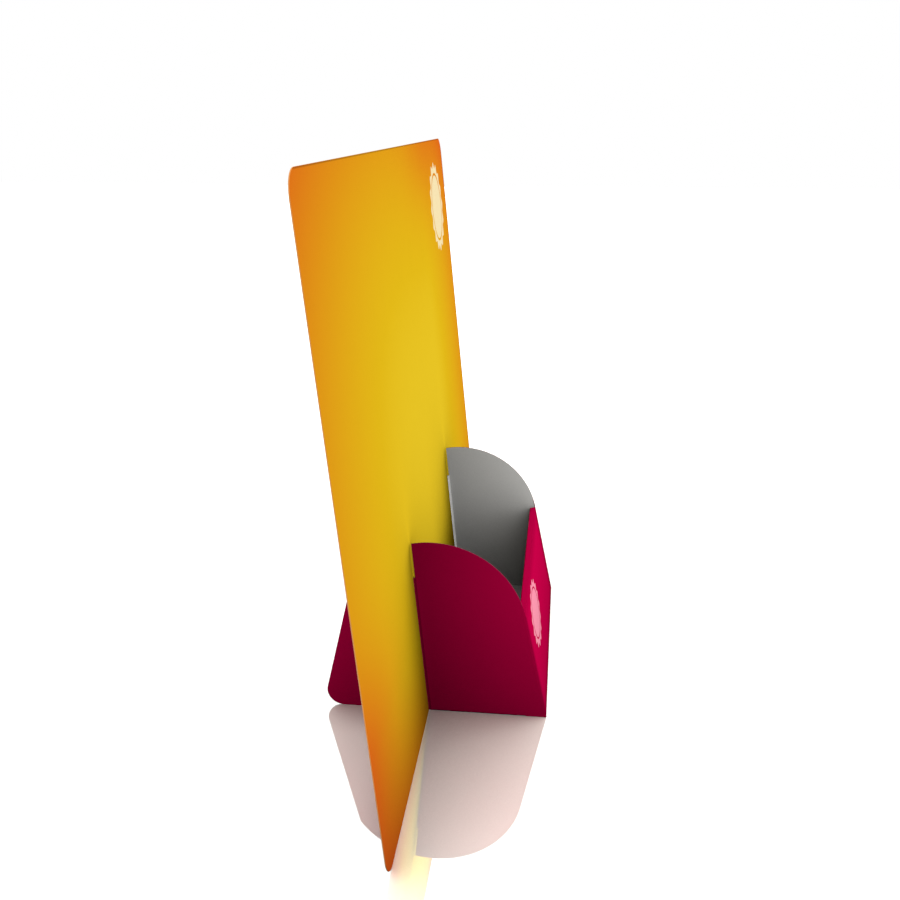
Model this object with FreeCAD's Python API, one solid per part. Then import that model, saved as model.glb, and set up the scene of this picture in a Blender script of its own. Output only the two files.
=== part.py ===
import FreeCAD, Part
import math
import os

# Cardboard counter stand: a leaning poster board, cross-lapped with a leaflet holder that is folded
# from one sheet. Millimetres, +Z up, X along the poster's width, -Y towards the viewer. The parts are
# worked out from the line where the poster's front face meets the table, and then moved along Y so that
# the origin is the middle of the stand's outline on the table.

Vector = FreeCAD.Vector
X_AXIS = Vector(1, 0, 0)
Y_AXIS = Vector(0, 1, 0)

# Poster board
POSTER_WIDTH = 420.0
POSTER_HEIGHT = 297.0
POSTER_BOARD = 0.5
POSTER_LEAN_DEG = 5.6
POSTER_CORNER_RADIUS = 11.0

# Leaflet holder: the sheet and its folds
HOLDER_WIDTH = 157.3
HOLDER_BOARD = 0.5
FOLD_INNER_RADIUS = 0.2

# Leaflet holder: front wall, rolled-over rim and base
FRONT_REACH = 64.85
FRONT_HEIGHT = 61.6
FRONT_LEAN_DEG = 12.0
RIM_WIDTH = 4.0
BASE_RAMP_LENGTH = 6.0
FLAP_WIDTH = 24.0
FLAP_MITRE = 6.0

# Leaflet holder: side panels
TOP_RADIUS = 51.5
TOP_ARC_END_DEG = 34.0
FOOT_REACH = 59.55
FOOT_CORNER_RADIUS = 9.0

# Cross-lap: height along the poster where slot and notch meet
LAP_HEIGHT = 81.0

# Clearances
SLOT_SIDE_CLEARANCE = 1.0
NOTCH_FRONT_CLEARANCE = 0.85
NOTCH_SEAT_CLEARANCE = 0.1
LAP_CLEARANCE = 0.3
PANEL_SIDE_CLEARANCE = 0.4
INNER_WALL_FOOT_CLEARANCE = 0.3
RAMP_CLEARANCE = 1.5
BASE_REAR_CLEARANCE = 1.0
FLAP_END_CLEARANCE = 1.0
CUTTER_MARGIN = 5.0

# Values that follow from the ones above
FOLD_OUTER_RADIUS = FOLD_INNER_RADIUS + HOLDER_BOARD
HALF_WIDTH = HOLDER_WIDTH / 2
STRAP_HALF_WIDTH = HALF_WIDTH - HOLDER_BOARD - PANEL_SIDE_CLEARANCE
FRONT_LEAN = math.radians(FRONT_LEAN_DEG)
TOP_ARC_END = math.radians(TOP_ARC_END_DEG)
POSTER_LEAN = math.radians(POSTER_LEAN_DEG)

# Where the base steps up onto the glue flaps, and how far the flaps reach along the side panels
RAMP_START = -FRONT_REACH + RIM_WIDTH + RAMP_CLEARANCE
FLAP_START = RAMP_START + BASE_RAMP_LENGTH
FLAP_END = -BASE_REAR_CLEARANCE - FLAP_END_CLEARANCE

# The front wall's own directions: up its slope, and square into the holder
FRONT_UP = Vector(0, math.sin(FRONT_LEAN), math.cos(FRONT_LEAN))
FRONT_INTO = Vector(0, math.cos(FRONT_LEAN), -math.sin(FRONT_LEAN))
FRONT_BOTTOM = Vector(0, -FRONT_REACH, 0)
FRONT_TOP = FRONT_BOTTOM + FRONT_UP * FRONT_HEIGHT

# The side panel's round top carries on from the front fold, and ends where the rear slope begins
TOP_CENTRE = FRONT_TOP + FRONT_INTO * TOP_RADIUS
REAR_TOP = TOP_CENTRE + Vector(0, math.cos(TOP_ARC_END), math.sin(TOP_ARC_END)) * TOP_RADIUS
FOOT_LEAN = math.atan2(FOOT_REACH - REAR_TOP.y, REAR_TOP.z)


def line_path(points, radii):
    """Edges of a path through the points, with its corners rounded to the given radii."""
    edges = []
    start = points[0]
    for before, corner, after, radius in zip(points, points[1:], points[2:], radii):
        way_in = (corner - before).normalize()
        way_out = (after - corner).normalize()
        if radius > 0:
            turn = way_in.getAngle(way_out)
            tangent = radius * math.tan(turn / 2)
            arc_start = corner - way_in * tangent
            arc_end = corner + way_out * tangent
            to_centre = (way_out - way_in).normalize()
            centre = corner + to_centre * (radius / math.cos(turn / 2))
            arc_middle = centre - to_centre * radius
            edges.append(Part.LineSegment(start, arc_start).toShape())
            edges.append(Part.Arc(arc_start, arc_middle, arc_end).toShape())
            start = arc_end
        else:
            edges.append(Part.LineSegment(start, corner).toShape())
            start = corner
    edges.append(Part.LineSegment(start, points[-1]).toShape())
    return edges


def offset_points(points, distance, normal):
    """The points of a path set over to its left, seen against the normal, with mitred corners."""
    ways = [(b - a).normalize() for a, b in zip(points, points[1:])]
    lefts = [normal.cross(way) for way in ways]
    moved = [points[0] + lefts[0] * distance]
    for corner, left_in, left_out in zip(points[1:], lefts, lefts[1:]):
        bisector = left_in + left_out
        moved.append(corner + bisector * (2 * distance / bisector.dot(bisector)))
    moved.append(points[-1] + lefts[-1] * distance)
    return moved


def board_section(points, folds, normal):
    """Face of a folded board seen on edge: its printed side follows the points, folded where told."""
    outer_radii = [FOLD_OUTER_RADIUS if fold else 0 for fold in folds]
    inner_radii = [FOLD_INNER_RADIUS if fold else 0 for fold in folds]
    inner_points = offset_points(points, HOLDER_BOARD, normal)
    edges = line_path(points, outer_radii)
    edges.append(Part.LineSegment(points[-1], inner_points[-1]).toShape())
    edges.extend(line_path(inner_points[::-1], inner_radii[::-1]))
    edges.append(Part.LineSegment(inner_points[0], points[0]).toShape())
    return Part.Face(Part.Wire(edges))


def mirrored(shape):
    """The same shape on the other side of the stand's middle plane."""
    return shape.mirror(Vector(0, 0, 0), X_AXIS)


def leaned(shape):
    """A shape drawn on the upright poster, turned back with it and standing on its lower rear edge."""
    lift = Vector(0, 0, POSTER_BOARD * math.sin(POSTER_LEAN))
    lean = FreeCAD.Placement(lift, FreeCAD.Rotation(X_AXIS, -POSTER_LEAN_DEG))
    turned = shape.copy()
    turned.Placement = lean.multiply(turned.Placement)
    return turned


def side_outline():
    """Outline of a side panel seen from the side: front fold, round top, rear slope and foot."""
    corners = [FRONT_TOP, FRONT_BOTTOM, Vector(0, FOOT_REACH, 0), REAR_TOP]
    edges = line_path(corners, [0, FOOT_CORNER_RADIUS])
    bisector = (FRONT_TOP - TOP_CENTRE) + (REAR_TOP - TOP_CENTRE)
    arc_middle = TOP_CENTRE + bisector.normalize() * TOP_RADIUS
    edges.append(Part.Arc(REAR_TOP, arc_middle, FRONT_TOP).toShape())
    return Part.Face(Part.Wire(edges))


def middle_of_outline():
    """Where the middle of the outline on the table lies along Y, before the stand is moved."""
    foot_centre = FOOT_REACH - FOOT_CORNER_RADIUS * (1 + math.sin(FOOT_LEAN)) / math.cos(FOOT_LEAN)
    rearmost = foot_centre + FOOT_CORNER_RADIUS
    return (rearmost - FRONT_REACH) / 2


def left_side_panel():
    """Left side panel with the rounded fold that joins it to the front wall."""
    slab = side_outline().extrude(X_AXIS * HOLDER_WIDTH)
    slab.translate(Vector(-HALF_WIDTH, 0, 0))
    # The folded section runs along the front fold, past the outline at both ends
    run = FRONT_REACH + FOOT_REACH + FRONT_HEIGHT + TOP_RADIUS
    start = FRONT_BOTTOM - FRONT_UP * run
    corner = start - X_AXIS * HALF_WIDTH
    points = [corner + FRONT_INTO * run, corner, start - X_AXIS * STRAP_HALF_WIDTH]
    section = board_section(points, [True], FRONT_UP)
    panel = section.extrude(FRONT_UP * (2 * run)).common(slab)
    # Above the front wall only the side panel goes on, so the end of the folded section comes off
    inside = HOLDER_WIDTH - 2 * HOLDER_BOARD
    above = Part.makeBox(inside, FOLD_OUTER_RADIUS + CUTTER_MARGIN, TOP_RADIUS)
    above.Placement = FreeCAD.Placement(Vector(0, 0, 0), FreeCAD.Rotation(X_AXIS, -FRONT_LEAN_DEG))
    above.translate(FRONT_TOP - X_AXIS * (inside / 2) - FRONT_INTO * CUTTER_MARGIN)
    return panel.cut(above)


def left_glue_flap():
    """Flap folded in under the base from the left side panel's bottom edge, with mitred ends."""
    fold = -HALF_WIDTH
    free_edge = fold + FLAP_WIDTH
    height = 2 * FOLD_OUTER_RADIUS
    points = [Vector(fold, FLAP_START, height), Vector(fold, FLAP_START, 0), Vector(free_edge, FLAP_START, 0)]
    flap = board_section(points, [True], -Y_AXIS).extrude(Y_AXIS * (FLAP_END - FLAP_START))
    plan = Part.makePolygon([
        Vector(fold, FLAP_START, 0),
        Vector(free_edge, FLAP_START + FLAP_MITRE, 0),
        Vector(free_edge, FLAP_END - FLAP_MITRE, 0),
        Vector(fold, FLAP_END, 0),
        Vector(fold, FLAP_START, 0),
    ])
    return flap.common(Part.Face(plan).extrude(Vector(0, 0, height)))


def left_corner_cut():
    """The square bottom edge of the side panel that the flap's rounded fold takes the place of."""
    corner = Vector(-HALF_WIDTH, FLAP_START, 0)
    return Part.makeBox(FOLD_OUTER_RADIUS, FLAP_END - FLAP_START, FOLD_OUTER_RADIUS, corner)


def front_strap():
    """Inner wall, rim, front wall and base: one strap of board that spans the two side panels."""
    rim_rear = FRONT_TOP + FRONT_INTO * RIM_WIDTH
    foot_height = HOLDER_BOARD + INNER_WALL_FOOT_CLEARANCE
    drop = (rim_rear.z - foot_height) / FRONT_UP.z
    points = [
        rim_rear - FRONT_UP * drop,
        rim_rear,
        FRONT_TOP,
        FRONT_BOTTOM,
        Vector(0, RAMP_START, 0),
        Vector(0, FLAP_START, HOLDER_BOARD),
        Vector(0, -BASE_REAR_CLEARANCE, HOLDER_BOARD),
    ]
    folds = [True, True, True, False, False]
    strap = board_section(points, folds, X_AXIS).extrude(X_AXIS * (2 * STRAP_HALF_WIDTH))
    strap.translate(Vector(-STRAP_HALF_WIDTH, 0, 0))
    return strap


def lap_notch():
    """Cutter for the notch at the top of both side panels that the poster board drops into."""
    gap = NOTCH_FRONT_CLEARANCE + POSTER_BOARD + NOTCH_SEAT_CLEARANCE
    floor = LAP_HEIGHT - LAP_CLEARANCE
    width = HOLDER_WIDTH + 2 * CUTTER_MARGIN
    box = Part.makeBox(width, gap, FRONT_HEIGHT + TOP_RADIUS)
    box.translate(Vector(-width / 2, -NOTCH_FRONT_CLEARANCE, floor))
    return leaned(box)


def leaflet_holder():
    """The holder, one folded sheet with a printed outside."""
    panel = left_side_panel().cut(left_corner_cut()).fuse(left_glue_flap())
    holder = front_strap().fuse([panel, mirrored(panel)])
    return holder.cut(lap_notch()).removeSplitter()


def poster_board():
    """The poster, a flat board with rounded corners and two slots open at its bottom edge."""
    half = POSTER_WIDTH / 2
    corners = [
        Vector(0, 0, 0),
        Vector(half, 0, 0),
        Vector(half, 0, POSTER_HEIGHT),
        Vector(-half, 0, POSTER_HEIGHT),
        Vector(-half, 0, 0),
        Vector(0, 0, 0),
    ]
    outline = Part.Wire(line_path(corners, [POSTER_CORNER_RADIUS] * 4))
    board = Part.Face(outline).extrude(Y_AXIS * POSTER_BOARD)
    slot_width = HOLDER_BOARD + 2 * SLOT_SIDE_CLEARANCE
    for side in (-1, 1):
        middle = side * (HALF_WIDTH - HOLDER_BOARD / 2)
        slot = Part.makeBox(slot_width, POSTER_BOARD + 2 * CUTTER_MARGIN, LAP_HEIGHT + CUTTER_MARGIN)
        slot.translate(Vector(middle - slot_width / 2, -CUTTER_MARGIN, -CUTTER_MARGIN))
        board = board.cut(slot)
    return leaned(board.removeSplitter())


def export(shape, node):
    """Write one node, with the origin moved to the middle of the outline on the table."""
    placed = shape.copy()
    placed.translate(Vector(0, -middle_of_outline(), 0))
    placed.exportStep(f"parts/{node}.step")
    return placed


def main():
    os.makedirs("parts", exist_ok=True)
    for node, make in (("poster_board", poster_board), ("leaflet_holder", leaflet_holder)):
        placed = export(make(), node)
        box = placed.optimalBoundingBox(False)
        sizes = [round(length, 2) for length in (box.XLength, box.YLength, box.ZLength)]
        print(node, "solids", len(placed.Solids), "valid", placed.isValid(), "size", sizes)


main()
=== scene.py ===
"""Looks of a cardboard counter stand: a leaning poster board in a folded leaflet holder.

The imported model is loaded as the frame. Each CAD piece is then worked out again as a folded sheet
with its board thickness, rounded folds, cut edges and print, in metres and in the frame's own axes.
"""

import math

import bmesh
import bpy
import numpy as np
from bpy.props import FloatProperty, FloatVectorProperty, IntProperty, PointerProperty
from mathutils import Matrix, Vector


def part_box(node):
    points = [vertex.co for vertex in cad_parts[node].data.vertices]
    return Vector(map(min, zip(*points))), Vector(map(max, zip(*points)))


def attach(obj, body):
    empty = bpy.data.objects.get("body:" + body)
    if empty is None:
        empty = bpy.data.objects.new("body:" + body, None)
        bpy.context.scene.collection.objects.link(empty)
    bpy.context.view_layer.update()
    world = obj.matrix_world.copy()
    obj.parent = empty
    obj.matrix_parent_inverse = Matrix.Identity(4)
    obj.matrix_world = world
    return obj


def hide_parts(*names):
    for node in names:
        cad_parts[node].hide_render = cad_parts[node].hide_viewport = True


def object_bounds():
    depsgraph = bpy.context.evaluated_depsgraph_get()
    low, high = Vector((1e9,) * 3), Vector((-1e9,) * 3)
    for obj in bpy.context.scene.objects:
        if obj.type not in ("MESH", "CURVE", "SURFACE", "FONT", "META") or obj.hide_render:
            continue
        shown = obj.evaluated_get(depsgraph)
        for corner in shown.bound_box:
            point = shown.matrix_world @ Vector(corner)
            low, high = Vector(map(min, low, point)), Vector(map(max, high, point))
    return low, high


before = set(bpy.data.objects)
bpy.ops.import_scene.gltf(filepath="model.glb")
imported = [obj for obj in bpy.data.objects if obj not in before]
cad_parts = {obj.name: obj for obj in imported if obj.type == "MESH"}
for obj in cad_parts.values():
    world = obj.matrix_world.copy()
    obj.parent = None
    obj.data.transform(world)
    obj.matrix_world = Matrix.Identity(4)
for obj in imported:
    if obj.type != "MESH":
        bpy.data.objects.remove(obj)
CAD_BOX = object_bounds()
POSTER_LOW, POSTER_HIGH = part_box("poster_board")
HOLDER_LOW, HOLDER_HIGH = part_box("leaflet_holder")

bl_info = {
    "name": "Cardboard Poster Stand",
    "version": (1, 0, 0),
    "blender": (4, 5, 0),
    "location": "3D View > Sidebar > Poster Stand",
    "description": "Builds a cardboard poster stand with a leaflet holder, on a plain studio floor",
    "category": "Object",
}

MM = 0.001


def picked(red, green, blue):
    """A colour as linear light, from the three numbers up to 255 that a colour picker shows."""
    shown = np.array((red, green, blue)) / 255
    linear = np.where(shown <= 0.04045, shown / 12.92, ((shown + 0.055) / 1.055) ** 2.4)
    return tuple(float(value) for value in linear)


def length(name, description, default):
    """A property for a length in metres."""
    return FloatProperty(name=name, description=description, default=default, unit="LENGTH", precision=5)


def angle(name, description, degrees):
    """A property for an angle, whose default is given in degrees."""
    return FloatProperty(name=name, description=description, default=math.radians(degrees), unit="ROTATION")


def number(name, description, default, unit="NONE"):
    """A property for a plain number."""
    return FloatProperty(name=name, description=description, default=default, unit=unit)


def face_count(name, description, default):
    """A property for the number of faces round a bend."""
    return IntProperty(name=name, description=description, default=default, min=2, max=128)


def colour(name, description, default):
    """A property for a colour."""
    return FloatVectorProperty(
        name=name, description=description, default=default, subtype="COLOR", size=3, min=0, max=1
    )


class PosterSizes(bpy.types.PropertyGroup):
    """Sizes of the poster board"""

    width: length("Width", "Width of the poster board", POSTER_HIGH.x - POSTER_LOW.x)
    height: length("Height", "Height of the board along its own face", 297 * MM)
    board: length("Board", "Thickness of the board", 0.5 * MM)
    lean: angle("Lean", "How far the board leans back from upright", 5.6)
    corner: length("Corner Radius", "Radius of the four corners", 11 * MM)
    slot_width: length("Slot Width", "Width of the two slots that the holder's sides go through", 2.5 * MM)
    slot_height: length("Slot Height", "Height of the two slots, from the bottom edge", 81 * MM)
    slot_reach: length("Slot Reach", "From the middle of the board to the middle of a slot", 78.4 * MM)
    mark_across: length("Mark Across", "From the middle of the board to the ornament's middle", 158 * MM)
    mark_up: length("Mark Up", "From the bottom edge to the ornament's middle", 252 * MM)
    mark_radius: length("Mark Radius", "Radius of the ornament", 30 * MM)


class HolderSizes(bpy.types.PropertyGroup):
    """Sizes of the folded leaflet holder"""

    width: length("Width", "Width over both side panels", HOLDER_HIGH.x - HOLDER_LOW.x)
    board: length("Board", "Thickness of the board", 0.5 * MM)
    fold: length("Fold Radius", "Radius of the printed side at a fold", 0.7 * MM)
    strap_reach: length("Strap Reach", "Half the width of the front wall's free edges", 77.75 * MM)
    front_reach: length("Front Reach", "From the poster's foot to the front fold", 64.85 * MM)
    front_height: length("Front Height", "Height of the front wall along its slope", 61.6 * MM)
    front_lean: angle("Front Lean", "How far the front wall leans back", 12.0)
    rim: length("Rim", "Width of the rolled-over rim", 4.0 * MM)
    inner_foot: length("Inner Wall Foot", "Height at which the inner wall ends above the table", 0.8 * MM)
    ramp_start: length(
        "Ramp Start", "From the poster's foot forward to the start of the base's ramp", 59.35 * MM
    )
    flap_start: length(
        "Flap Start", "From the poster's foot forward to the front of the glue flaps", 53.35 * MM
    )
    flap_end: length("Flap End", "From the poster's foot forward to the rear of the glue flaps", 2.0 * MM)
    flap_width: length("Flap Width", "Width of a glue flap from its fold", 24.0 * MM)
    flap_mitre: length(
        "Flap Mitre", "How much shorter a glue flap is at each end of its free edge", 6.0 * MM
    )
    base_end: length("Base End", "From the poster's foot forward to the rear edge of the base", 1.0 * MM)
    top_radius: length("Top Radius", "Radius of the side panel's round top", 51.5 * MM)
    top_end: angle("Top End", "Angle above level at which the round top becomes the rear slope", 34.0)
    foot_reach: length(
        "Foot Reach", "From the poster's foot back to the corner of the rear foot", 59.55 * MM
    )
    foot_corner: length("Foot Corner", "Radius of the rear foot's corner", 9.0 * MM)
    notch_floor: length("Notch Floor", "Height of the notch's floor along the poster", 80.7 * MM)
    notch_front: length("Notch Front", "Room in the notch in front of the poster", 0.85 * MM)
    notch_rear: length("Notch Rear", "From the poster's front face to the notch's rear side", 0.6 * MM)
    mark_across: length("Mark Across", "From the middle plane to the ornament's middle", -33 * MM)
    mark_up: length("Mark Up", "From the table up the front wall to the ornament's middle", 40.5 * MM)
    mark_radius: length("Mark Radius", "Half the height of the ornament", 17.5 * MM)
    mark_stretch: number("Mark Stretch", "How much wider than high the ornament is", 1.5)


class StandFinish(bpy.types.PropertyGroup):
    """Colours and finish of the stand"""

    middle: colour("Poster Middle", "Print in the middle of the poster", picked(216, 183, 34))
    golden: colour("Poster Field", "Print round the middle", picked(210, 171, 22))
    orange: colour("Poster Edge", "Print near the poster's edges", picked(207, 135, 21))
    deep: colour("Poster Corner", "Print in the poster's corners", picked(205, 64, 24))
    poster_mark: colour("Poster Mark", "The plain ornament printed on the poster", picked(226, 208, 163))
    crimson: colour("Holder Print", "Print on the outside of the leaflet holder", picked(189, 2, 67))
    holder_mark: colour(
        "Holder Mark", "The plain ornament printed on the front wall", picked(240, 145, 166)
    )
    # A darker thin line along the poster's top and right edges
    edge_line: colour(
        "Poster Border", "What the thin line along the poster's top and right edges keeps of its print",
        (0.6, 0.62, 1.0),
    )
    poster_cut: colour(
        "Poster Cut Edge", "Cut edges of the poster, tinged by its print", picked(224, 155, 88)
    )
    holder_cut: colour(
        "Holder Cut Edge", "Cut edges of the holder, tinged by its print", picked(142, 57, 80)
    )
    bare: colour("Bare Board", "Unprinted side of the board", picked(246, 245, 241))
    bevel: length("Edge Softness", "Rounding along the cut edges", 0.1 * MM)
    bounce: number("Bounce", "Share of its colour that the board gives to things near it", 0.06)
    # Painted shade along the front wall's edges
    edge_shade_reach: length("Crease Reach", "How far the darker tone at the front wall's edges reaches", 9 * MM)
    far_edge_shade_reach: length("Far Crease Reach", "How far it reaches from the fold on the right", 20 * MM)
    fold_steps: face_count("Fold Steps", "Faces round each fold", 8)
    foot_steps: face_count("Foot Steps", "Faces round the corner of each rear foot", 24)
    corner_steps: face_count("Corner Steps", "Faces round each corner of the poster", 32)
    arc_steps: face_count("Arc Steps", "Faces round each round top", 64)


class StudioSettings(bpy.types.PropertyGroup):
    """Light, floor and camera"""

    camera_place: FloatVectorProperty(
        name="Camera Place", description="Where the camera stands", subtype="TRANSLATION",
        unit="LENGTH", size=3, default=(-0.54661, -0.06125, 0.31324)
    )
    camera_way: FloatVectorProperty(
        name="Camera Direction", description="The way the camera looks", subtype="DIRECTION",
        size=3, default=(0.94034609, 0.10745548, -0.3228042)
    )
    lens: number("Lens", "Focal length on a 36 mm sensor, in millimetres", 39.545)
    key_place: FloatVectorProperty(
        name="Key Place", description="Where the soft lamp hangs", subtype="TRANSLATION",
        unit="LENGTH", size=3, default=(0.6, -1.9, 0.75)
    )
    key_size: length("Key Size", "Side of the square soft lamp", 1.5)
    key_watts: number("Key Power", "Power of the soft lamp", 16.5, "POWER")
    sky: number("Surroundings", "Brightness of the room's light", 1.18)
    floor_size: length("Floor Size", "Side of the square floor", 8.0)
    floor_shown: colour("Floor Tone", "Colour of the floor under its polish", picked(243, 243, 233))
    # The stand's painted shadow on the floor
    floor_painted_shade_reach: length(
        "Floor Shade Reach", "How far the stand's contact shade reaches over the floor", 100 * MM
    )
    floor_painted_shade: number("Floor Shade", "Strength of the contact shade on the floor", 0.85)
    rear_painted_shade: number("Rear Floor Shade", "Strength of that shade behind the poster", 0.35)
    rear_painted_shade_fade: length("Rear Shade Fade", "How far from poster and holder that strength is reached", 30 * MM)
    floor_bounce: number("Floor Bounce", "How much light the floor gives back", 0.4)
    floor_mirror: number("Floor Mirror", "Strength of the floor's reflection", 0.73)


# Shapes

# Points closer than this are joined, and edges sharper than this are softened
WELD_DISTANCE = 0.002 * MM
SOFTENED_ANGLE = math.radians(50)


def rounded_path(corners, radii, steps):
    """Points of a flat path through the corners, whose inner corners are rounded to the radii.

    An arc starts one tangent length before its corner, which is the radius times the tangent of
    half the turn. A point on it is that start, plus the radius times the sine of the angle turned
    along the way in, plus the radius times one less the cosine towards the side that it turns to.
    """
    corners = np.asarray(corners, float)
    ways = np.diff(corners, axis=0)
    ways /= np.linalg.norm(ways, axis=1)[:, None]
    parts = [corners[:1]]
    for corner, way_in, way_out, radius in zip(corners[1:-1], ways, ways[1:], radii):
        turn = math.atan2(way_in[0] * way_out[1] - way_in[1] * way_out[0], way_in @ way_out)
        if radius == 0:
            parts.append(corner[None])
            continue
        start = corner - way_in * radius * math.tan(abs(turn) / 2)
        inward = np.array((-way_in[1], way_in[0])) * math.copysign(1, turn)
        turned = np.linspace(0, abs(turn), steps + 1)[:, None]
        parts.append(start + radius * (np.sin(turned) * way_in + (1 - np.cos(turned)) * inward))
    parts.append(corners[-1:])
    return np.concatenate(parts)


def arc(centre, radius, start, end, steps):
    """Points round a centre: the radius times the cosine and the sine of evenly spaced angles."""
    turned = np.linspace(start, end, steps + 1)
    return centre + radius * np.stack((np.cos(turned), np.sin(turned)), -1)


def grid(points):
    """A patch from a grid of points, with one four-cornered face between each four neighbours."""
    rows, columns = points.shape[:2]
    row, column = np.mgrid[: rows - 1, : columns - 1]
    first = row * columns + column
    faces = np.stack((first, first + 1, first + columns + 1, first + columns), -1)
    return points.reshape(-1, 3), faces.reshape(-1, 4).tolist()


def outline(points):
    """A flat patch, one face with the points as its corners."""
    return points, [list(range(len(points)))]


def mirrored(patch):
    """The same patch on the other side of the middle plane, with its faces turned to stay outside."""
    points, faces = patch
    return points * (-1, 1, 1), [face[::-1] for face in faces]


def sheet_piece(name, patches, board, bevel, materials):
    """A piece of board: patches of its printed side joined into one sheet, which is then thickened.

    The thickness goes in from the printed side. The first material is the print, the second the
    bare side and the third the cut edges, which are softened by a small bevel.
    """
    points = np.concatenate([patch[0] for patch in patches])
    offsets = np.cumsum([0] + [len(patch[0]) for patch in patches])
    faces = [
        [int(corner + offset) for corner in face]
        for (_, patch_faces), offset in zip(patches, offsets)
        for face in patch_faces
    ]
    mesh = bpy.data.meshes.new(name)
    mesh.from_pydata(points.tolist(), [], faces)
    joined = bmesh.new()
    joined.from_mesh(mesh)
    bmesh.ops.remove_doubles(joined, verts=joined.verts, dist=WELD_DISTANCE)
    joined.to_mesh(mesh)
    joined.free()
    mesh.shade_smooth()
    for material in materials:
        mesh.materials.append(material)
    piece = bpy.data.objects.new(name, mesh)
    bpy.context.scene.collection.objects.link(piece)
    thicken = piece.modifiers.new("Board thickness", "SOLIDIFY")
    thicken.thickness = board
    thicken.offset = -1
    thicken.use_even_offset = True
    thicken.material_offset = 1
    thicken.material_offset_rim = 2
    soften = piece.modifiers.new("Cut edges", "BEVEL")
    soften.width = bevel
    soften.segments = 2
    soften.limit_method = "ANGLE"
    soften.angle_limit = SOFTENED_ANGLE
    soften.use_clamp_overlap = False
    shade = piece.modifiers.new("Flat faces", "WEIGHTED_NORMAL")
    shade.weight = 100
    return piece


# Poster board


def poster_outline(sizes, steps):
    """Outline of the flat poster, counter-clockwise from the front: width across, height up.

    A rectangle with its corners rounded to circles and two upright slots open at the bottom edge.
    """
    half, side = sizes.width / 2, sizes.slot_width / 2
    near, far = sizes.slot_reach - side, sizes.slot_reach + side
    top = sizes.slot_height
    corners = [
        (0, 0), (near, 0), (near, top), (far, top), (far, 0), (half, 0),
        (half, sizes.height), (-half, sizes.height), (-half, 0),
        (-far, 0), (-far, top), (-near, top), (-near, 0), (0, 0),
    ]
    square = [0] * 4
    return rounded_path(corners, square + [sizes.corner] * 4 + square, steps)[:-1]


def build_poster_board(sizes, finish):
    """The poster: its flat outline, leant back from its bottom front edge.

    A point's height along the board goes back by its sine and up by its cosine of the lean. The
    board stands on its lower rear edge, so the front face starts one board times the sine higher.
    """
    flat = poster_outline(sizes, finish.corner_steps)
    back, up = math.sin(sizes.lean), math.cos(sizes.lean)
    lift = sizes.board * back
    points = np.stack((flat[:, 0], POSTER_LOW.y + flat[:, 1] * back, lift + flat[:, 1] * up), -1)
    materials = [
        poster_print(sizes, finish),
        bare_board(finish, "Poster back"),
        cut_edge(finish, "Poster cut edge", finish.poster_cut),
    ]
    poster = sheet_piece("poster", [outline(points)], sizes.board, finish.bevel, materials)
    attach(poster, "root")
    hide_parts("poster_board")
    return poster


# Leaflet holder


class HolderLines:
    """Places on the holder that several patches share, as pairs of distance back and height."""

    def __init__(self, sizes, poster):
        self.foot = HOLDER_LOW.y + sizes.front_reach
        self.half = sizes.width / 2
        lean = sizes.front_lean
        self.slope = math.tan(lean)
        self.up = np.array((math.sin(lean), math.cos(lean)))
        self.into = np.array((math.cos(lean), -math.sin(lean)))
        self.front_bottom = np.array((-sizes.front_reach, 0.0))
        self.front_top = self.front_bottom + self.up * sizes.front_height
        self.top_centre = self.front_top + self.into * sizes.top_radius
        self.rear_top = arc(self.top_centre, sizes.top_radius, sizes.top_end, 0, 1)[0]
        turn = math.pi / 2 + lean
        self.low_row = sizes.fold * math.tan(turn / 2)
        self.high_row = sizes.front_height - sizes.fold
        self.poster_up = np.array((math.sin(poster.lean), math.cos(poster.lean)))
        self.poster_back = np.array((math.cos(poster.lean), -math.sin(poster.lean)))
        self.poster_foot = np.array((0.0, poster.board * math.sin(poster.lean)))

    def placed(self, across, line):
        """Points of the stand from their places across it and their pairs of distance and height."""
        across, back, height = np.broadcast_arrays(across, line[..., 0] + self.foot, line[..., 1])
        return np.stack((across, back, height), -1)


def strap_patch(sizes, finish, lines):
    """Inner wall, rim, front wall and base: one path with rounded folds, carried across the stand."""
    rim_rear = lines.front_top + lines.into * sizes.rim
    inner_foot = rim_rear - lines.up * (rim_rear[1] - sizes.inner_foot) / lines.up[1]
    corners = [
        inner_foot,
        rim_rear,
        lines.front_top,
        lines.front_bottom,
        (-sizes.ramp_start, 0),
        (-sizes.flap_start, sizes.board),
        (-sizes.base_end, sizes.board),
    ]
    path = rounded_path(corners, [sizes.fold] * 3 + [0, 0], finish.fold_steps)
    across = np.array((sizes.strap_reach, -sizes.strap_reach))
    return grid(lines.placed(across[None, :], path[:, None, :]))


def corner_patch(sizes, finish, lines):
    """The upright corner fold: a flat strip of the front wall, then a quarter circle to the side.

    Across the fold, a point lies the fold radius times the sine further out and times one less the
    cosine further in. Its rows run up from the table, where the height along the slope is the
    tangent of the lean times the depth of the board's inner side. They end at the round top, where
    it is the front wall's height plus the root of twice the top radius times the depth less the
    depth squared.
    """
    turned = np.linspace(0, math.pi / 2, finish.fold_steps + 1)
    straight = lines.half - sizes.fold
    across = np.concatenate(([sizes.strap_reach], straight + sizes.fold * np.sin(turned)))
    depth = np.concatenate(([0.0], sizes.fold * (1 - np.cos(turned))))
    low = depth * lines.slope + sizes.board * lines.slope * np.append(1.0, np.cos(turned))
    high = sizes.front_height + np.sqrt(2 * sizes.top_radius * depth - depth**2)
    level = np.ones_like(depth)
    rows = np.stack((low, lines.low_row * level, lines.high_row * level, high))
    line = lines.front_bottom + lines.up * rows[..., None] + lines.into * depth[:, None]
    return grid(lines.placed(across, line))


def round_top(sizes, lines, start, end, steps):
    """Points of the side panel's round top between two angles."""
    return arc(lines.top_centre, sizes.top_radius, start, end, steps)


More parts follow.
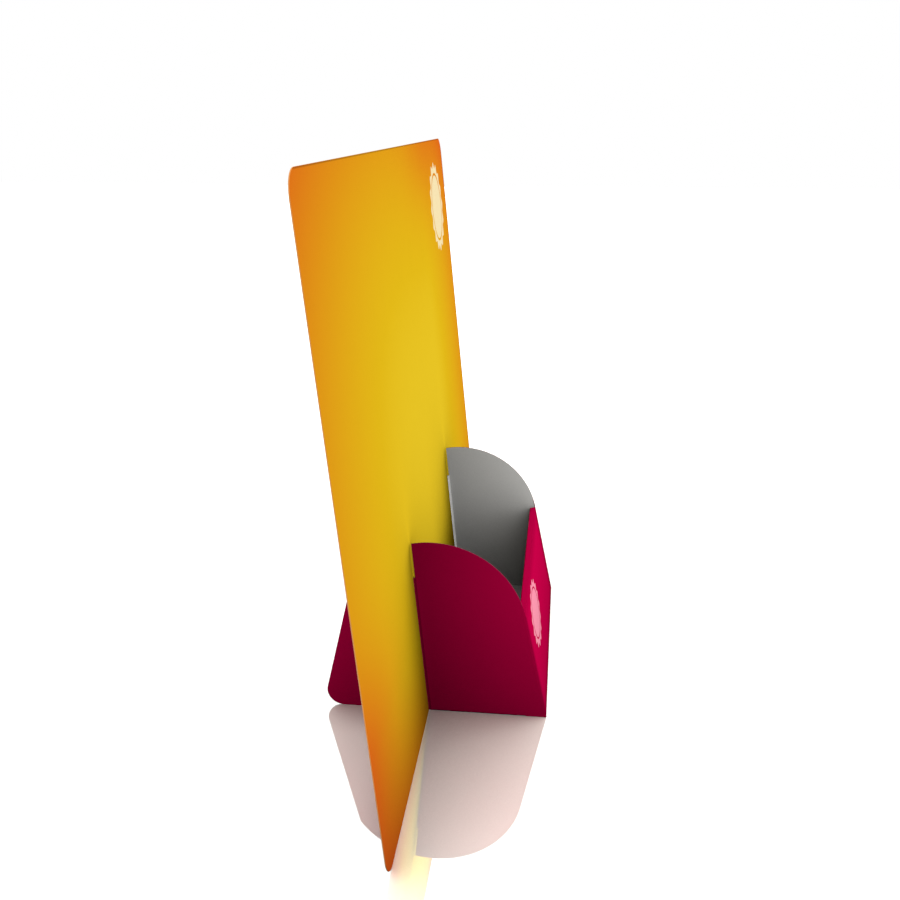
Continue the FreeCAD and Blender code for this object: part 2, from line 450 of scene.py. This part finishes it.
def notch_side(sizes, lines, back):
    """One side of the notch, a line up the poster: its floor end, and the angle where it leaves
    the round top. It meets the circle where the distance to the centre is the circle's radius."""
    floor = lines.poster_foot + lines.poster_back * back + lines.poster_up * sizes.notch_floor
    reach = floor - lines.top_centre
    along = reach @ lines.poster_up
    leave = floor + lines.poster_up * (math.sqrt(along**2 - reach @ reach + sizes.top_radius**2) - along)
    return floor, math.atan2(*(leave - lines.top_centre)[::-1])


def side_patch(sizes, finish, lines):
    """The flat side panel: table edge, rear foot, rear slope, round top with its notch, front fold.

    Where the glue flap hangs, its bottom edge is one fold radius above the table.
    """
    fold = sizes.fold
    front = [
        lines.front_bottom + lines.up * row + lines.into * fold
        for row in (fold * lines.slope, lines.low_row, lines.high_row)
    ]
    table = [front[0], (-sizes.flap_start, 0), (-sizes.flap_start, fold), (-sizes.flap_end, fold)]
    corners = [(-sizes.flap_end, 0), (sizes.foot_reach, 0), lines.rear_top]
    foot = rounded_path(corners, [sizes.foot_corner], finish.foot_steps)
    rear_floor, rear_angle = notch_side(sizes, lines, sizes.notch_rear)
    front_floor, front_angle = notch_side(sizes, lines, -sizes.notch_front)
    first = math.pi - sizes.front_lean - math.acos(1 - fold / sizes.top_radius)
    share = finish.arc_steps / (first - sizes.top_end)
    rear_steps = round(share * (rear_angle - sizes.top_end))
    front_steps = round(share * (first - front_angle))
    points = np.concatenate((
        table,
        foot,
        round_top(sizes, lines, sizes.top_end, rear_angle, rear_steps)[1:],
        [rear_floor, front_floor],
        round_top(sizes, lines, front_angle, first, front_steps),
        front[:0:-1],
    ))
    return outline(lines.placed(lines.half, points))


def flap_patch(sizes, finish, lines):
    """A glue flap under the base: a quarter circle in from the side panel, then flat, with mitres.

    Both ends draw in evenly from the fold to the free edge, where each is one mitre shorter.
    """
    turned = np.linspace(0, math.pi / 2, finish.fold_steps + 1)
    inset = np.append(sizes.fold * (1 - np.cos(turned)), sizes.flap_width)
    height = np.append(sizes.fold * (1 - np.sin(turned)), 0.0)
    drawn_in = sizes.flap_mitre * inset / sizes.flap_width
    ends = np.stack((-sizes.flap_end - drawn_in, -sizes.flap_start + drawn_in), -1)
    line = np.stack((ends, np.broadcast_to(height[:, None], ends.shape)), -1)
    return grid(lines.placed((lines.half - inset)[:, None], line))


def build_leaflet_holder(sizes, poster, finish):
    """The holder, one folded sheet: the strap, and on each side a corner fold, a panel and a flap."""
    lines = HolderLines(sizes, poster)
    right = [make(sizes, finish, lines) for make in (corner_patch, side_patch, flap_patch)]
    patches = [strap_patch(sizes, finish, lines), *right, *map(mirrored, right)]
    materials = [
        holder_print(sizes, poster, finish),
        bare_board(finish, "Holder inside", poster),
        cut_edge(finish, "Holder cut edge", finish.holder_cut),
    ]
    holder = sheet_piece("holder", patches, sizes.board, finish.bevel, materials)
    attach(holder, "root")
    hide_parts("leaflet_holder")
    return holder


# Materials

# Depth of the fine relief, roughness, and strength of the painted contact shade of each kind of surface
PRINTED = {"relief": 0.02 * MM, "roughness": 0.5, "power": 0.8}
BARE = {"relief": 0.04 * MM, "roughness": 0.7, "power": 0.66}
CUT = {"relief": 0.08 * MM, "roughness": 0.8, "power": 0.8}

# The painted light and painted shade at the slots reach from just in front of the poster to just behind it
SLOT_FRONT, SLOT_REAR = -1.3 * MM, 1.0 * MM
# What the print keeps of its tone under the painted shade in the slots
SLOT_PAINTED_SHADE = (0.5, 0.5, 0.5, 1.0)
# Colour that the painted shade along the front wall's edges darkens towards
PAINTED_SHADE_TONE = (0.0, 0.0, 0.0, 1.0)

# How much lighter the rim's print is painted, as painted light, and how the painted shade along the front
# wall's edges fades
RIM_PAINTED_LIGHT = 0.2
PAINTED_EDGE_SHADE_POWER = 1.5
PAINTED_EDGE_SHADE_START = 0.1 * MM

# Depth of the poster's colour at which its print is deepest
DEEPEST = 0.6

# How far in from the poster's right and top edges their thin line starts, and where it is full
RIGHT_START, RIGHT_FULL = 3.5 * MM, 2 * MM
TOP_START, TOP_FULL = 1.0 * MM, 0.4 * MM


def feed(tree, socket, value):
    """Link an output to a socket, or set the socket to a plain value."""
    if isinstance(value, bpy.types.NodeSocket):
        tree.links.new(value, socket)
    else:
        socket.default_value = value


def node(tree, kind, settings=(), **values):
    """A new node with its settings, and with values or links on its named inputs."""
    made = tree.nodes.new(kind)
    for name, value in dict(settings).items():
        setattr(made, name, value)
    for name, value in values.items():
        feed(tree, made.inputs[name.replace("_", " ")], value)
    return made


def maths(tree, operation, *values):
    """A Math node with its values in order."""
    made = tree.nodes.new("ShaderNodeMath")
    made.operation = operation
    for socket, value in zip(made.inputs, values):
        feed(tree, socket, value)
    return made.outputs[0]


def dot(tree, first, second):
    """The dot product of two directions."""
    made = tree.nodes.new("ShaderNodeVectorMath")
    made.operation = "DOT_PRODUCT"
    feed(tree, made.inputs[0], first)
    feed(tree, made.inputs[1], second)
    return made.outputs["Value"]


def smooth_step(tree, value, low, high):
    """How far a value has come from low to high, with a soft start and end."""
    made = node(tree, "ShaderNodeMapRange", {"interpolation_type": "SMOOTHSTEP"},
                Value=value, From_Min=low, From_Max=high)
    return made.outputs["Result"]


def within(tree, value, low, high):
    """One where a value is from low to high, and otherwise none."""
    return maths(tree, "COMPARE", value, (low + high) / 2, (high - low) / 2)


def mix(tree, blend, factor, first, second):
    """A colour mixed from two colours."""
    made = tree.nodes.new("ShaderNodeMix")
    made.data_type = "RGBA"
    made.blend_type = blend
    for name, value in (("Factor_Float", factor), ("A_Color", first), ("B_Color", second)):
        socket = next(socket for socket in made.inputs if socket.identifier == name)
        feed(tree, socket, value)
    return next(socket for socket in made.outputs if socket.identifier == "Result_Color")


def solid(shade):
    """A colour property as the four numbers that a socket takes."""
    return (*shade, 1.0)


def light_path(tree, *rays):
    """One where the ray is of any of the kinds named, and otherwise none."""
    path = tree.nodes.new("ShaderNodeLightPath")
    total = path.outputs[rays[0]]
    for ray in rays[1:]:
        total = maths(tree, "MAXIMUM", total, path.outputs[ray])
    return total


def new_group(name, inputs, outputs):
    """An empty shader node group with its named sockets, and its inner input and output nodes."""
    group = bpy.data.node_groups.new(name, "ShaderNodeTree")
    for label, kind, default in inputs:
        socket = group.interface.new_socket(label, in_out="INPUT", socket_type=kind)
        if default is not None:
            socket.default_value = default
    for label, kind in outputs:
        group.interface.new_socket(label, in_out="OUTPUT", socket_type=kind)
    return group, group.nodes.new("NodeGroupInput").outputs, group.nodes.new("NodeGroupOutput").inputs


def board_grain_group():
    """Paper grain of the board: a tone and a height.

    The fibres are noise drawn out along the board's width. The tone is one, more or less by the
    tone strength where fibres and soft clouds together are high or low. The height is the fibres.
    """
    name = "Board grain"
    if name in bpy.data.node_groups:
        return bpy.data.node_groups[name]
    group, given, result = new_group(
        name,
        [
            ("Vector", "NodeSocketVector", None),
            ("Cloud Scale", "NodeSocketFloat", 55.0),
            ("Fibre Scale", "NodeSocketFloat", 1900.0),
            ("Tone Strength", "NodeSocketFloat", 0.05),
        ],
        [("Tone", "NodeSocketFloat"), ("Height", "NodeSocketFloat")],
    )
    clouds = node(group, "ShaderNodeTexNoise", Vector=given["Vector"], Scale=given["Cloud Scale"],
                  Detail=3.0, Roughness=0.55).outputs["Fac"]
    drawn_out = node(group, "ShaderNodeMapping", Vector=given["Vector"], Scale=(0.25, 1.0, 1.0))
    fibres = node(group, "ShaderNodeTexNoise", Vector=drawn_out.outputs["Vector"],
                  Scale=given["Fibre Scale"], Detail=2.0, Roughness=0.6).outputs["Fac"]
    both = maths(group, "ADD", maths(group, "MULTIPLY", fibres, 0.6), maths(group, "MULTIPLY", clouds, 0.4))
    centred = maths(group, "SUBTRACT", both, 0.5)
    tone = maths(group, "MULTIPLY_ADD", centred, given["Tone Strength"], 1.0)
    feed(group, result["Tone"], tone)
    feed(group, result["Height"], fibres)
    return group


def rubbed_edge_group():
    """Where a surface is near a cut edge or a fold: one less the match of its own normal with the
    normal rounded over the given width, broken up by noise."""
    name = "Rubbed edge"
    if name in bpy.data.node_groups:
        return bpy.data.node_groups[name]
    group, given, result = new_group(
        name,
        [
            ("Vector", "NodeSocketVector", None),
            ("Width", "NodeSocketFloat", 0.5 * MM),
            ("Amount", "NodeSocketFloat", 0.35),
        ],
        [("Mask", "NodeSocketFloat")],
    )
    rounded = node(group, "ShaderNodeBevel", {"samples": 4}, Radius=given["Width"])
    own = node(group, "ShaderNodeNewGeometry")
    match = dot(group, rounded.outputs["Normal"], own.outputs["Normal"])
    near = smooth_step(group, maths(group, "SUBTRACT", 1.0, match), 0.02, 0.30)
    patches = node(group, "ShaderNodeTexNoise", Vector=given["Vector"], Scale=420.0, Detail=3.0)
    broken = maths(group, "MULTIPLY", near, smooth_step(group, patches.outputs["Fac"], 0.35, 0.65))
    feed(group, result["Mask"], maths(group, "MULTIPLY", broken, given["Amount"]))
    return group


def painted_contact_shade_group():
    """Painted shade in folds and corners, for a base colour: how open a place is within a reach, raised to
    a power.
    """
    name = "Contact shade"
    if name in bpy.data.node_groups:
        return bpy.data.node_groups[name]
    group, given, result = new_group(
        name,
        [("Reach", "NodeSocketFloat", 80 * MM), ("Power", "NodeSocketFloat", 0.8)],
        [("Shade", "NodeSocketFloat")],
    )
    openness = node(group, "ShaderNodeAmbientOcclusion", {"samples": 8}, Distance=given["Reach"])
    feed(group, result["Shade"], maths(group, "POWER", openness.outputs["AO"], given["Power"]))
    return group


def rosette_group():
    """A round seal with a wavy rim: inside the line where the distance from the middle is the
    radius, less or more by a small wave that runs round a number of times. A thin ring is left out."""
    name = "Rosette"
    if name in bpy.data.node_groups:
        return bpy.data.node_groups[name]
    group, given, result = new_group(
        name,
        [
            ("Across", "NodeSocketFloat", 0.0),
            ("Up", "NodeSocketFloat", 0.0),
            ("Radius", "NodeSocketFloat", 30 * MM),
            ("Waves", "NodeSocketFloat", 16.0),
        ],
        [("Mask", "NodeSocketFloat")],
    )
    across, up = given["Across"], given["Up"]
    squares = maths(group, "MULTIPLY_ADD", across, across, maths(group, "MULTIPLY", up, up))
    reach = maths(group, "DIVIDE", maths(group, "SQRT", squares), given["Radius"])
    turned = maths(group, "ARCTAN2", up, across)
    wave = maths(group, "COSINE", maths(group, "MULTIPLY", turned, given["Waves"]))
    rim = maths(group, "MULTIPLY_ADD", wave, 0.06, 0.94)
    inside = smooth_step(group, maths(group, "SUBTRACT", rim, reach), -0.008, 0.008)
    from_ring = maths(group, "ABSOLUTE", maths(group, "SUBTRACT", reach, 0.74))
    ring = smooth_step(group, from_ring, 0.022, 0.034)
    feed(group, result["Mask"], maths(group, "MULTIPLY", inside, ring))
    return group


def placed_group(tree, group, **values):
    """A node group placed in a material, with its named inputs."""
    made = node(tree, "ShaderNodeGroup", {"node_tree": group})
    for name, value in values.items():
        feed(tree, made.inputs[name.replace("_", " ")], value)
    return made.outputs


def new_material(name):
    """A matt material with its Principled shader, and the piece's Object coordinates."""
    material = bpy.data.materials.new(name)
    material.use_nodes = True
    tree = material.node_tree
    shader = tree.nodes["Principled BSDF"]
    shader.inputs["Specular IOR Level"].default_value = 0.0
    coordinates = tree.nodes.new("ShaderNodeTexCoord").outputs["Object"]
    return material, tree, shader, coordinates


def finish_board(tree, shader, shade, bounce, grain, relief, roughness, power, painted_light=0.0):
    """Tone, roughness and fine relief of a board surface, from the grain.

    Rays that carry light on to other surfaces meet a darker board, so its colour hardly bleeds.
    The contact shade is painted shade in the base colour, with the given power, and painted light keeps a
    place from being painted darker than it.
    """
    lent = light_path(tree, "Is Diffuse Ray")
    kept = maths(tree, "MULTIPLY_ADD", lent, bounce - 1.0, 1.0)
    # Painted shade: the contact shade darkens the base colour, and painted light lifts it
    painted_shade = placed_group(tree, painted_contact_shade_group(), Power=power)["Shade"]
    painted_shade = maths(tree, "MAXIMUM", painted_shade, painted_light)
    tone = maths(tree, "MULTIPLY", maths(tree, "MULTIPLY", grain["Tone"], kept), painted_shade)
    grey = node(tree, "ShaderNodeCombineColor", Red=tone, Green=tone, Blue=tone)
    feed(tree, shader.inputs["Base Color"], mix(tree, "MULTIPLY", 1.0, shade, grey.outputs["Color"]))
    feed(tree, shader.inputs["Roughness"], maths(tree, "MULTIPLY_ADD", grain["Height"], 0.2, roughness))
    bump = node(tree, "ShaderNodeBump", Height=grain["Height"], Distance=relief, Strength=0.5)
    feed(tree, shader.inputs["Normal"], bump.outputs["Normal"])


def board_frame(tree, coordinates, lean, foot, height):
    """The coordinates turned into a leaning board's own: across, depth and height up its face."""
    moved = node(tree, "ShaderNodeMapping", {"vector_type": "POINT"}, Vector=coordinates,
                 Location=(0.0, -foot, -height))
    turned = node(tree, "ShaderNodeMapping", {"vector_type": "POINT"},
                  Vector=moved.outputs["Vector"], Rotation=(lean, 0.0, 0.0))
    return node(tree, "ShaderNodeSeparateXYZ", Vector=turned.outputs["Vector"]).outputs


def edge_fade(tree, value, edge, reach, power):
    """What fades in towards an edge: the share of the reach that is left there, raised to a power."""
    left = maths(tree, "DIVIDE", maths(tree, "SUBTRACT", edge + reach, value), reach)
    return maths(tree, "POWER", maths(tree, "MAXIMUM", left, 0.0), power)


def poster_frame(tree, coordinates, sizes):
    """The coordinates turned into the poster's own."""
    return board_frame(tree, coordinates, sizes.lean, POSTER_LOW.y, sizes.board * math.sin(sizes.lean))


def ornament(tree, place, sizes, stretch=1.0):
    """Mask of the rosette at its place on a board, drawn out across by the stretch."""
    return placed_group(
        tree, rosette_group(), Radius=sizes.mark_radius,
        Across=maths(tree, "DIVIDE", maths(tree, "SUBTRACT", place["X"], sizes.mark_across), stretch),
        Up=maths(tree, "SUBTRACT", place["Z"], sizes.mark_up),
    )["Mask"]


def in_slots(tree, coordinates, sizes):
    """One in the poster's slots and just in front of them, and otherwise none."""
    place = poster_frame(tree, coordinates, sizes)
    side = sizes.slot_width / 2
    across = maths(tree, "ABSOLUTE", place["X"])
    inside = within(tree, across, sizes.slot_reach - side, sizes.slot_reach + side)
    inside = maths(tree, "MULTIPLY", inside, within(tree, place["Y"], SLOT_FRONT, SLOT_REAR))
    return maths(tree, "MULTIPLY", inside, maths(tree, "LESS_THAN", place["Z"], sizes.slot_height))


def poster_print(sizes, finish):
    """Yellow print that turns orange towards the edges.

    The depth of the colour adds up what fades in from each edge and two glows by the corners. A
    glow is a bell: the exponential of minus the squared distances across and up from its middle,
    each over its own reach. A thin line along the top and right edges is darker.
    """
    material, tree, shader, coordinates = new_material("Poster print")
    place = poster_frame(tree, coordinates, sizes)
    half = sizes.width / 2
    # Axis, edge, reach in from the edge, power and strength
    fades = (
        ("X", -half, 220 * MM, 2.6, 0.23),
        ("X", half, -130 * MM, 1.4, 0.28),
        ("Z", sizes.height, -210 * MM, 3.4, 0.24),
        ("Z", 0.0, 54 * MM, 1.45, 0.30),
    )
    depth = 0.0
    for axis, edge, reach, power, strength in fades:
        fade = edge_fade(tree, place[axis], edge, reach, power)
        depth = maths(tree, "MULTIPLY_ADD", fade, strength, depth)
    # Strength, then axis, middle and reach, across and up
    glows = (
        (0.31, ("X", -240 * MM, 86 * MM), ("Z", 55 * MM, 41 * MM)),
        (0.13, ("X", 100 * MM, 60 * MM), ("Z", 300 * MM, 45 * MM)),
    )
    for strength, *ways in glows:
        squares = 0.0
        for axis, middle, reach in ways:
            share = maths(tree, "DIVIDE", maths(tree, "SUBTRACT", place[axis], middle), reach)
            squares = maths(tree, "MULTIPLY_ADD", share, share, squares)
        glow = maths(tree, "EXPONENT", maths(tree, "MULTIPLY", squares, -1.0))
        depth = maths(tree, "MULTIPLY_ADD", glow, strength, depth)
    ramp = node(tree, "ShaderNodeValToRGB", Fac=maths(tree, "DIVIDE", depth, DEEPEST))
    stops = ((0.0, finish.middle), (0.1, finish.golden), (0.5, finish.orange), (1.0, finish.deep))
    elements = ramp.color_ramp.elements
    for element, (position, shade) in zip((elements[0], elements[1]), (stops[0], stops[-1])):
        element.position = position
        element.color = solid(shade)
    for position, shade in stops[1:-1]:
        elements.new(position).color = solid(shade)
    mark = ornament(tree, place, sizes)
    grain = placed_group(tree, board_grain_group(), Vector=coordinates)
    rubbed = placed_group(tree, rubbed_edge_group(), Vector=coordinates)["Mask"]
    shade = mix(tree, "MIX", mark, ramp.outputs["Color"], solid(finish.poster_mark))
    # A darker thin line along the top and right edges
    right = smooth_step(tree, place["X"], half - RIGHT_START, half - RIGHT_FULL)
    top = smooth_step(tree, place["Z"], sizes.height - TOP_START, sizes.height - TOP_FULL)
    shade = mix(tree, "MULTIPLY", maths(tree, "MAXIMUM", right, top), shade, solid(finish.edge_line))
    shade = mix(tree, "MIX", rubbed, shade, solid(finish.poster_cut))
    finish_board(tree, shader, shade, finish.bounce, grain, **PRINTED)
    return material


def holder_print(sizes, poster, finish):
    """Crimson print on the outside of the holder, with a plain ornament on the front wall.

    It has painted shade inside the poster's slots and along the front wall's edges, and painted light on
    the rim.
    """
    material, tree, shader, coordinates = new_material("Holder print")
    place = board_frame(tree, coordinates, sizes.front_lean, HOLDER_LOW.y, 0.0)
    outermost = maths(tree, "LESS_THAN", place["Y"], sizes.rim / 2)
    mark = maths(tree, "MULTIPLY", ornament(tree, place, sizes, sizes.mark_stretch), outermost)
    grain = placed_group(tree, board_grain_group(), Vector=coordinates)
    rubbed = placed_group(tree, rubbed_edge_group(), Vector=coordinates)["Mask"]
    shade = mix(tree, "MIX", mark, solid(finish.crimson), solid(finish.holder_mark))
    shade = mix(tree, "MIX", rubbed, shade, solid(finish.holder_cut))
    # Painted shade on the side panels' print inside the poster's slots
    shade = mix(tree, "MULTIPLY", in_slots(tree, coordinates, poster), shade, SLOT_PAINTED_SHADE)
    half = sizes.width / 2
    # Painted shade along the front wall's folds, foot and top: axis, edge, reach in from the edge and
    # strength
    edge_shade_table = (
        ("X", -half, finish.edge_shade_reach, 0.5),
        ("X", half, -finish.far_edge_shade_reach, 0.6),
        ("Z", 0.0, finish.edge_shade_reach, 0.6),
        ("Z", sizes.front_height, -finish.edge_shade_reach, 0.27),
    )
    painted_edge_shade = 0.0
    for axis, edge, reach, strength in edge_shade_table:
        fade = edge_fade(tree, place[axis], edge, reach, PAINTED_EDGE_SHADE_POWER)
        painted_edge_shade = maths(tree, "MAXIMUM", painted_edge_shade, maths(tree, "MULTIPLY", fade, strength))
    on_wall = maths(tree, "SUBTRACT", 1.0, smooth_step(tree, place["Y"], PAINTED_EDGE_SHADE_START, sizes.fold))
    shade = mix(tree, "MULTIPLY", maths(tree, "MULTIPLY", painted_edge_shade, on_wall), shade, PAINTED_SHADE_TONE)
    # Painted light on the rim: its fold keeps no contact shade, and its strip is painted lighter still
    rim = maths(tree, "GREATER_THAN", place["Z"], sizes.front_height - sizes.fold)
    rim = maths(tree, "MULTIPLY", rim, within(tree, place["X"], -sizes.strap_reach, sizes.strap_reach))
    strip = maths(tree, "GREATER_THAN", place["Y"], sizes.fold)
    rim = maths(tree, "MULTIPLY", rim, maths(tree, "MULTIPLY_ADD", strip, RIM_PAINTED_LIGHT, 1.0))
    finish_board(tree, shader, shade, finish.bounce, grain, **PRINTED, painted_light=rim)
    return material


def bare_board(finish, name, slots=None):
    """The unprinted side of the board, a warm white with visible grain.

    For the holder, slots are the sizes of the poster. Inside its slots the side panels get painted light in
    place of their painted contact shade, for the light that falls through them.
    """
    material, tree, shader, coordinates = new_material(name)
    grain = placed_group(tree, board_grain_group(), Vector=coordinates, Tone_Strength=0.12)
    # Painted light on the side panels inside the poster's slots
    painted_light = in_slots(tree, coordinates, slots) if slots else 0.0
    finish_board(tree, shader, solid(finish.bare), finish.bounce, grain, **BARE, painted_light=painted_light)
    return material


def cut_edge(finish, name, shade):
    """The cut edge of a board, with coarse torn fibres, tinged by the print beside it."""
    material, tree, shader, coordinates = new_material(name)
    grain = placed_group(
        tree, board_grain_group(), Vector=coordinates, Fibre_Scale=3200.0, Tone_Strength=0.35
    )
    finish_board(tree, shader, solid(shade), finish.bounce, grain, **CUT)
    return material


# Studio

# Keeps the floor clear of the boards that stand on it
FLOOR_DROP = 0.05 * MM


def floor_material(studio):
    """A pale polished floor. What the camera sees is paler than the light that it gives back.

    The stand's painted shadow on it, a contact shade multiplied into its tone, is weaker behind the poster,
    away from the holder's sides.
    """
    material = bpy.data.materials.new("Studio floor")
    material.use_nodes = True
    tree = material.node_tree
    tree.nodes.clear()
    coordinates = tree.nodes.new("ShaderNodeTexCoord").outputs["Object"]
    place = node(tree, "ShaderNodeSeparateXYZ", Vector=coordinates).outputs
    # Painted shadow of the stand: contact shade multiplied into the floor's tone
    across = maths(tree, "ABSOLUTE", place["X"])
    behind = smooth_step(tree, place["Y"], POSTER_LOW.y, POSTER_LOW.y + studio.rear_painted_shade_fade)
    beside = smooth_step(tree, across, HOLDER_HIGH.x, HOLDER_HIGH.x + studio.rear_painted_shade_fade)
    power = maths(
        tree, "MULTIPLY_ADD", maths(tree, "MULTIPLY", behind, beside),
        studio.rear_painted_shade - studio.floor_painted_shade, studio.floor_painted_shade,
    )
    shade = placed_group(tree, painted_contact_shade_group(), Reach=studio.floor_painted_shade_reach, Power=power)["Shade"]
    grey = node(tree, "ShaderNodeCombineColor", Red=shade, Green=shade, Blue=shade).outputs["Color"]
    toned = mix(tree, "MULTIPLY", 1.0, solid(studio.floor_shown), grey)
    shown = node(tree, "ShaderNodeBsdfDiffuse", Color=toned)
    mirror = node(tree, "ShaderNodeBsdfGlossy", Color=solid([studio.floor_mirror] * 3), Roughness=0.0)
    polished = tree.nodes.new("ShaderNodeAddShader")
    feed(tree, polished.inputs[0], shown.outputs["BSDF"])
    feed(tree, polished.inputs[1], mirror.outputs["BSDF"])
    bounce = node(tree, "ShaderNodeBsdfDiffuse", Color=solid([studio.floor_bounce] * 3))
    chosen = tree.nodes.new("ShaderNodeMixShader")
    feed(tree, chosen.inputs[0], light_path(tree, "Is Camera Ray"))
    feed(tree, chosen.inputs[1], bounce.outputs["BSDF"])
    feed(tree, chosen.inputs[2], polished.outputs["Shader"])
    output = tree.nodes.new("ShaderNodeOutputMaterial")
    feed(tree, output.inputs["Surface"], chosen.outputs["Shader"])
    return material


def build_floor(studio):
    """A flat square of floor under the stand."""
    half = studio.floor_size / 2
    side = np.array((-half, half))
    points = np.stack((*np.meshgrid(side, side), np.full((2, 2), -FLOOR_DROP)), -1)
    mesh = bpy.data.meshes.new("floor")
    mesh.from_pydata(points.reshape(-1, 3).tolist(), [], grid(points)[1])
    mesh.materials.append(floor_material(studio))
    floor = bpy.data.objects.new("floor", mesh)
    bpy.context.scene.collection.objects.link(floor)


def build_world(studio):
    """Even light from all round. The camera and reflections see it as white."""
    world = bpy.data.worlds.new("Studio surroundings")
    bpy.context.scene.world = world
    world.use_nodes = True
    tree = world.node_tree
    background = tree.nodes["Background"]
    background.inputs["Color"].default_value = (1, 1, 1, 1)
    seen = light_path(tree, "Is Camera Ray", "Is Glossy Ray", "Is Transmission Ray")
    strength = node(tree, "ShaderNodeMapRange", Value=seen, To_Min=studio.sky, To_Max=1.0)
    feed(tree, background.inputs["Strength"], strength.outputs["Result"])


def build_key(studio):
    """One large soft lamp in front and to the right, turned to the middle of the stand."""
    lamp = bpy.data.lights.new("key", "AREA")
    lamp.shape = "SQUARE"
    lamp.size = studio.key_size
    lamp.energy = studio.key_watts
    key = bpy.data.objects.new("key", lamp)
    bpy.context.scene.collection.objects.link(key)
    key.location = studio.key_place
    middle = (CAD_BOX[0] + CAD_BOX[1]) / 2
    key.rotation_euler = (middle - key.location).to_track_quat("-Z", "Y").to_euler()
    key.visible_glossy = False
    key.visible_camera = False


def build_camera(studio):
    """The camera, level from side to side, at the photograph's angle."""
    camera = bpy.data.cameras.new("camera")
    camera.sensor_width = 36
    camera.lens = studio.lens
    camera.clip_start = 0.01
    camera.clip_end = 50
    seat = bpy.data.objects.new("camera", camera)
    bpy.context.scene.collection.objects.link(seat)
    seat.location = studio.camera_place
    seat.rotation_euler = Vector(studio.camera_way).to_track_quat("-Z", "Y").to_euler()
    bpy.context.scene.camera = seat


# Operators and panel


class STAND_OT_poster_board(bpy.types.Operator):
    """Build the poster board, leaning back in the holder"""

    bl_idname = "poster_stand.poster_board"
    bl_label = "Poster Board"

    def execute(self, context):
        scene = context.scene
        build_poster_board(scene.stand_poster, scene.stand_finish)
        return {"FINISHED"}


class STAND_OT_leaflet_holder(bpy.types.Operator):
    """Build the leaflet holder, folded from one sheet"""

    bl_idname = "poster_stand.leaflet_holder"
    bl_label = "Leaflet Holder"

    def execute(self, context):
        scene = context.scene
        build_leaflet_holder(scene.stand_holder, scene.stand_poster, scene.stand_finish)
        return {"FINISHED"}


class STAND_OT_studio(bpy.types.Operator):
    """Build the floor, the surroundings, the lamp and the camera"""

    bl_idname = "poster_stand.studio"
    bl_label = "Studio"

    def execute(self, context):
        scene = context.scene
        studio = scene.stand_studio
        build_floor(studio)
        build_world(studio)
        build_key(studio)
        build_camera(studio)
        scene.view_settings.view_transform = "Standard"
        return {"FINISHED"}


class STAND_PT_parts(bpy.types.Panel):
    """Sizes and finish of the stand, and the operators that build it"""

    bl_idname = "STAND_PT_parts"
    bl_label = "Poster Stand"
    bl_space_type = "VIEW_3D"
    bl_region_type = "UI"
    bl_category = "Poster Stand"

    def draw(self, context):
        for group, operator in (
            ("stand_poster", STAND_OT_poster_board),
            ("stand_holder", STAND_OT_leaflet_holder),
            ("stand_finish", None),
            ("stand_studio", STAND_OT_studio),
        ):
            box = self.layout.box()
            settings = getattr(context.scene, group)
            for name in settings.__annotations__:
                box.prop(settings, name)
            if operator:
                box.operator(operator.bl_idname)


SETTINGS = {
    "stand_poster": PosterSizes,
    "stand_holder": HolderSizes,
    "stand_finish": StandFinish,
    "stand_studio": StudioSettings,
}
OPERATORS = (STAND_OT_poster_board, STAND_OT_leaflet_holder, STAND_OT_studio)


def register():
    """Add the settings, the operators and the panel."""
    for name, group in SETTINGS.items():
        bpy.utils.register_class(group)
        setattr(bpy.types.Scene, name, PointerProperty(type=group))
    for each in (*OPERATORS, STAND_PT_parts):
        bpy.utils.register_class(each)


def unregister():
    """Take the panel, the operators and the settings away again."""
    for each in (STAND_PT_parts, *reversed(OPERATORS)):
        bpy.utils.unregister_class(each)
    for name, group in reversed(SETTINGS.items()):
        delattr(bpy.types.Scene, name)
        bpy.utils.unregister_class(group)


def main():
    """Build every piece and the studio."""
    register()
    bpy.ops.poster_stand.poster_board()
    bpy.ops.poster_stand.leaflet_holder()
    bpy.ops.poster_stand.studio()


if __name__ == "__main__":
    main()
